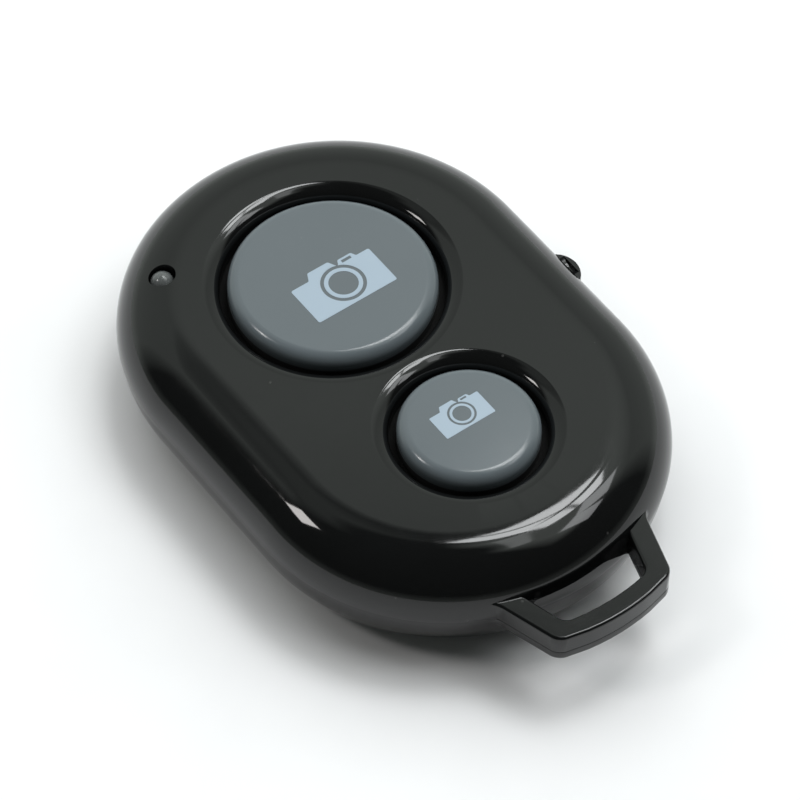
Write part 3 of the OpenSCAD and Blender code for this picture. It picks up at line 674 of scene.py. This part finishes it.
signShape = {
    "large": ((0.17, 6.28), 6.85, 4.2),  # centre, width, height
    "small": ((-0.03, -8.23), 4.2, 2.6),
    "thickness": 0.015,
    "cornerRadius": 0.035,
    "body": [(-0.5, -0.5), (0.5, -0.5), (0.5, 0.34), (0.34, 0.34), (0.31, 0.44), (0.14, 0.44), (0.11, 0.34),
             (0.09, 0.34), (0.04, 0.5), (-0.22, 0.5), (-0.27, 0.34), (-0.5, 0.34)],
    "lens": (0.015, -0.03),
    "rings": [0.4, 0.335, 0.26],  # outside and inside of the ring, and the disc
    "window": (0.225, 0.37, 0.06, 0.03),  # place, half width, half height
    "cutReach": 0.05,
    "cornerSteps": 3,
    "ringSteps": 72,
}


def buildSign(name, layout, spec):
    # outline in shares of the width and height, with its top at +Y; a pale ring stands round a grey disc
    centre, width, height = layout
    bottom = buttonShape["top"]
    bm = bmesh.new()
    verts = [bm.verts.new((centre[0] + x * width, centre[1] + y * height, bottom)) for x, y in spec["body"]]
    bm.faces.new(verts)
    for vert in list(bm.verts):
        roundCorner(bm, vert, spec["cornerRadius"] * height, spec["cornerSteps"])
    made = bmesh.ops.extrude_face_region(bm, geom=list(bm.faces))
    moved = [v for v in made["geom"] if isinstance(v, bmesh.types.BMVert)]
    bmesh.ops.translate(bm, verts=moved, vec=(0, 0, spec["thickness"]))
    sign = makeObject(bm, name)
    low, high = bottom - spec["cutReach"], bottom + spec["cutReach"]
    lens = (centre[0] + spec["lens"][0] * width, centre[1] + spec["lens"][1] * height)
    ringOut, ringIn, disc = (share * height for share in spec["rings"])
    cuts = bmesh.new()
    section = [(ringOut, low), (ringOut, high), (ringIn, high), (ringIn, low)]
    spinRound(cuts, section + section[:1], lens, spec["ringSteps"])
    addRod(cuts, disc, lens, low, high, spec["ringSteps"])
    x, y, halfWidth, halfHeight = spec["window"]
    addBox(cuts, (centre[0] + (x - halfWidth) * width, centre[1] + (y - halfHeight) * height, low),
           (centre[0] + (x + halfWidth) * width, centre[1] + (y + halfHeight) * height, high))
    combine(sign, makeObject(cuts, "cuts"), "DIFFERENCE")
    return sign


largeSign = buildSign("largeButtonSign", signShape["large"], signShape)
finishPiece(largeSign, "large_button", printInk)
smallSign = buildSign("smallButtonSign", signShape["small"], signShape)
finishPiece(smallSign, "small_button", printInk)
print("scene: signs made")


# Power switch knob

knobShape = {
    "restY": -0.4,
    "length": 3.7,
    "tipX": 16.3,
    "rootX": 13.9,
    "low": 5.925,
    "high": 7.225,
    "dishRadius": 1.5,
    "dishDepth": 0.3,
    "dishFrom": 14.9,
    "dishTo": 15.9,
    "soft": 0.14,
    "softAboveDeg": 38,
    "softSteps": 4,
    "endSteps": 32,
    "dishSteps": 48,
    "carriageLow": (11.25, -1.5, 6.225),
    "carriageHigh": (14.1, 0.7, 6.925),
}


def buildKnob(spec):
    half = spec["length"] / 2
    bm = bmesh.new()
    centre = (spec["tipX"] - half, spec["restY"])
    verts = [bm.verts.new((spec["rootX"], spec["restY"] - half, spec["low"])),
             bm.verts.new((centre[0], centre[1] - half, spec["low"]))]
    bm.edges.new(verts)
    bmesh.ops.spin(bm, geom=[verts[1]], cent=(*centre, 0), axis=(0, 0, 1), dvec=(0, 0, 0), angle=math.pi,
                   steps=spec["endSteps"], use_merge=False, use_duplicate=False)
    end = max(bm.verts, key=lambda v: (v.co.y, -v.co.x))
    corner = bm.verts.new((spec["rootX"], spec["restY"] + half, spec["low"]))
    bm.edges.new((end, corner))
    bm.edges.new((corner, verts[0]))
    bmesh.ops.contextual_create(bm, geom=list(bm.edges))
    made = bmesh.ops.extrude_face_region(bm, geom=list(bm.faces))
    moved = [v for v in made["geom"] if isinstance(v, bmesh.types.BMVert)]
    bmesh.ops.translate(bm, verts=moved, vec=(0, 0, spec["high"] - spec["low"]))
    knob = makeObject(bm, "powerKnob")
    bevel = knob.modifiers.new("Soft edges", "BEVEL")
    bevel.width = spec["soft"]
    bevel.segments = spec["softSteps"]
    bevel.limit_method = "ANGLE"
    bevel.angle_limit = math.radians(spec["softAboveDeg"])
    applyModifiers(knob)
    dish = bmesh.new()
    turned = Matrix.Translation(((spec["dishFrom"] + spec["dishTo"]) / 2, spec["restY"],
                                 spec["high"] + spec["dishRadius"] - spec["dishDepth"]))
    turned = turned @ Matrix.Rotation(math.pi / 2, 4, "Y")
    bmesh.ops.create_cone(dish, cap_ends=True, segments=spec["dishSteps"], radius1=spec["dishRadius"],
                          radius2=spec["dishRadius"], depth=spec["dishTo"] - spec["dishFrom"], matrix=turned)
    combine(knob, makeObject(dish, "dish"), "DIFFERENCE")
    carriage = bmesh.new()
    addBox(carriage, spec["carriageLow"], spec["carriageHigh"])
    combine(knob, makeObject(carriage, "carriage"), "UNION")
    return knob


knob = buildKnob(knobShape)
finishPiece(knob, "power_slider", knobBlack, ["power_switch_knob"])
print("scene: knob made")


# Status light lens

lensShape = {
    "place": (-9.581, 14.783),
    "radius": 0.9,
    "flange": 1.05,
    "flangeTop": 6.2,
    "bottom": 5.8,
    "top": 9.35,
    "domeSteps": 16,
    "roundSteps": 64,
}


def buildLens(spec):
    bm = bmesh.new()
    points = [(0, spec["bottom"]), (spec["flange"], spec["bottom"]), (spec["flange"], spec["flangeTop"]),
              (spec["radius"], spec["flangeTop"])]
    points += arcPoints(0, spec["top"] - spec["radius"], spec["radius"], 0, 90, spec["domeSteps"])
    spinRound(bm, points, spec["place"], spec["roundSteps"])
    return makeObject(bm, "statusLightLens")


lens = buildLens(lensShape)
finishPiece(lens, "front_case", lensGrey, ["status_light_lens"])
print("scene: lens made")


# Inner pieces keep their CAD shapes

boardGreen = plastic("Green solder mask", (0.012, 0.11, 0.05), 0.28, cloud=0.08, smear=0.1, skinSize=2600.0,
                     skinDepth=0.3)
keyBlack = plastic("Black key base", (0.02, 0.02, 0.022), 0.45, skinDepth=0.3)
plungerGrey = plastic("Grey plunger", (0.09, 0.09, 0.1), 0.4, skinDepth=0.2)
chipBlack = plastic("Black epoxy", (0.016, 0.016, 0.018), 0.55, cloud=0.02, skinSize=12000.0, skinDepth=0.5)
resistorBlack = plastic("Resistor glaze", (0.012, 0.012, 0.014), 0.3, skinSize=9000.0)
capacitorTan = plastic("Capacitor ceramic", (0.28, 0.18, 0.09), 0.5, cloud=0.08, skinSize=9000.0,
                       skinDepth=0.3)
switchBrown = plastic("Brown switch base", (0.06, 0.035, 0.02), 0.5, skinDepth=0.3)
gasketBlack = plastic("Black gasket", (0.02, 0.02, 0.022), 0.4, skinDepth=0.2)
steel = metal("Stamped steel", (0.62, 0.62, 0.62), (0.38, 0.35, 0.3), 0.28)
screwSteel = metal("Screw steel", (0.5, 0.5, 0.52), (0.3, 0.27, 0.22), 0.3, amount=0.5)
tin = metal("Tinned lead", (0.68, 0.68, 0.66), (0.5, 0.48, 0.44), 0.38, amount=0.5, brush=0.35)
cellNickel = metal("Nickel-plated cell", (0.66, 0.65, 0.62), (0.46, 0.42, 0.36), 0.2, amount=0.25, brush=0.12)
domeSteel = metal("Sprung dome", (0.66, 0.64, 0.58), (0.45, 0.4, 0.3), 0.18, amount=0.2)
crystalSteel = metal("Crystal can", (0.7, 0.68, 0.63), (0.5, 0.45, 0.36), 0.3)
aerialCopper = metal("Gold-flashed copper", (0.8, 0.55, 0.22), (0.5, 0.3, 0.12), 0.3, amount=0.4)

finishes = {
    "circuit_board": boardGreen, "board_screws": screwSteel,
    "large_key_base": keyBlack, "large_key_cover": steel, "large_key_plunger": plungerGrey,
    "large_key_dome": domeSteel, "large_key_leads": tin,
    "small_key_base": keyBlack, "small_key_cover": steel, "small_key_plunger": plungerGrey,
    "small_key_dome": domeSteel, "small_key_leads": tin,
    "power_switch_case": steel, "power_switch_base": switchBrown, "power_switch_leads": tin,
    "status_light_leads": tin, "radio_chip": chipBlack, "crystal_can": crystalSteel,
    "capacitors": capacitorTan,
    "resistors": resistorBlack, "component_ends": tin, "printed_aerial": aerialCopper, "cell_clip": steel,
    "cell_contact": steel, "cell_can": cellNickel, "cell_gasket": gasketBlack, "cell_cap": cellNickel,
}
for name, material in finishes.items():
    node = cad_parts[name]
    if not node.data.materials:
        node.data.materials.append(material)
    for holder in node.material_slots:
        holder.material = material
print("scene: inner pieces finished")


# Floor, light and camera

floorSize = 3.0
floorDrop = 0.00002
bm = bmesh.new()
bmesh.ops.create_grid(bm, x_segments=1, y_segments=1, size=floorSize / 2)
floorMesh = bpy.data.meshes.new("floor")
bm.to_mesh(floorMesh)
bm.free()
floor = bpy.data.objects.new("floor", floorMesh)
floor.location.z = -floorDrop
scene.collection.objects.link(floor)

floorWhite = bpy.data.materials.new("Pale floor")
floorWhite.use_nodes = True
tree = floorWhite.node_tree
tree.nodes.clear()
grain = addNode(tree, "ShaderNodeTexNoise", {"Scale": 60.0, "Detail": 3.0})
link(tree, addNode(tree, "ShaderNodeTexCoord").outputs["Object"], grain.inputs["Vector"])
grainShare = spread(tree, grain.outputs["Fac"], 0.3, 0.7, 0, 1)
tone = mixColours(tree, grainShare, (0.82, 0.82, 0.83, 1), (0.86, 0.86, 0.87, 1))
matt = addNode(tree, "ShaderNodeBsdfPrincipled", {"Roughness": 0.6, "Specular IOR Level": 0.2})
link(tree, tone, matt.inputs["Base Color"])
link(tree, matt.outputs["BSDF"], addNode(tree, "ShaderNodeOutputMaterial").inputs["Surface"])
floorMesh.materials.append(floorWhite)

world = bpy.data.worlds.new("Soft room")
scene.world = world
world.use_nodes = True
tree = world.node_tree
tree.nodes.clear()
direction = addNode(tree, "ShaderNodeSeparateXYZ")
link(tree, addNode(tree, "ShaderNodeTexCoord").outputs["Generated"], direction.inputs["Vector"])
east, north, height = (direction.outputs[axis] for axis in "XYZ")
level = calc(tree, "SQRT", calc(tree, "SUBTRACT", 1.0001, calc(tree, "MULTIPLY", height, height)))


def facing(azimuth):
    # 1 toward this azimuth, falling to -1 on the other side
    angle = math.radians(azimuth)
    along = calc(tree, "ADD", calc(tree, "MULTIPLY", east, math.cos(angle)),
                 calc(tree, "MULTIPLY", north, math.sin(angle)))
    return calc(tree, "DIVIDE", along, level)


def softPatch(azimuth, sideSoft, sideFull, lowSoft, lowFull, highFull, highSoft, strength):
    # a soft-edged bright part of the room between two heights, given as sines of the elevation
    across = spread(tree, facing(azimuth), sideSoft, sideFull, 0, strength)
    upward = calc(tree, "MULTIPLY", spread(tree, height, lowSoft, lowFull, 0, 1),
                  spread(tree, height, highFull, highSoft, 1, 0))
    return calc(tree, "MULTIPLY", across, upward)


roomLevel = 0.055
patches = [
    softPatch(57, 0.2, 0.42, -0.1, 0.0, 0.79, 0.85, 0.58),
    softPatch(24, 0.6, 0.97, 0.66, 0.79, 0.8, 0.84, 0.36),
    softPatch(-5, 0.52, 0.8, 0.79, 0.85, 0.972, 0.99, 0.95),
    softPatch(95, 0.7, 0.95, 0.81, 0.86, 0.92, 0.95, 0.3),
    spread(tree, height, 0.0, 0.2, 0.3, 0),
]
total = roomLevel
for patch in patches:
    total = calc(tree, "ADD", patch, total)
skyLight = addNode(tree, "ShaderNodeBackground", {"Color": (0.94, 1.02, 0.96, 1)})
link(tree, total, skyLight.inputs["Strength"])
link(tree, skyLight.outputs["Background"], addNode(tree, "ShaderNodeOutputWorld").inputs["Surface"])


def addPanel(name, azimuth, elevation, width, height, radiance, colour, distance=2.0, mirrored=True):
    # a flat soft light seen from the object at this direction, with its width and height in degrees
    light = bpy.data.lights.new(name, "AREA")
    light.shape = "RECTANGLE"
    light.size = 2 * distance * math.tan(math.radians(width / 2))
    light.size_y = 2 * distance * math.tan(math.radians(height / 2))
    light.energy = radiance * math.pi * light.size * light.size_y
    light.color = colour
    lamp = bpy.data.objects.new(name, light)
    az, el = math.radians(azimuth), math.radians(elevation)
    direction = Vector((math.cos(el) * math.cos(az), math.cos(el) * math.sin(az), math.sin(el)))
    lamp.location = direction * distance
    lamp.rotation_euler = direction.to_track_quat("Z", "Y").to_euler()
    lamp.visible_glossy = mirrored
    scene.collection.objects.link(lamp)


# Window panes with cross bars above the pale wall, a window to the left and a fill that isn't mirrored
daylight = (0.97, 0.99, 1.0)
for column, azimuth in enumerate((38.5, 13.5)):
    for row, elevation in enumerate((60.4, 67.6)):
        addPanel(f"mainPane{column}{row}", azimuth, elevation, 9.0, 6.2, 10.5, daylight)
for column, azimuth in enumerate((-9, -30)):
    addPanel(f"sidePane{column}", azimuth, 56.5, 10.2, 12, 3.8, (0.96, 0.98, 1.0))
addPanel("upperPane", -10, 76, 18, 5, 1.6, daylight)
addPanel("leftWindow", 146, 48, 10, 10.5, 12, (1.0, 0.97, 0.95))
addPanel("softFill", 34, 63, 100, 66, 1.4, (0.98, 0.99, 1.0), distance=1.6, mirrored=False)

cameraView = {
    "place": (-0.1172427, -0.1608055, 0.2588285),
    "target": (0.0001016, -0.0008993, 0.0036831),
    "lens": 202.5,
    "sensor": 36,
    "clipStart": 0.01,
}
cameraData = bpy.data.cameras.new("camera")
cameraData.lens = cameraView["lens"]
cameraData.sensor_width = cameraView["sensor"]
cameraData.clip_start = cameraView["clipStart"]
camera = bpy.data.objects.new("camera", cameraData)
camera.location = cameraView["place"]
backward = Vector(cameraView["place"]) - Vector(cameraView["target"])
camera.rotation_euler = backward.to_track_quat("Z", "Y").to_euler()
scene.collection.objects.link(camera)
scene.camera = camera
print("scene: floor, light and camera set")

bpy.context.view_layer.update()
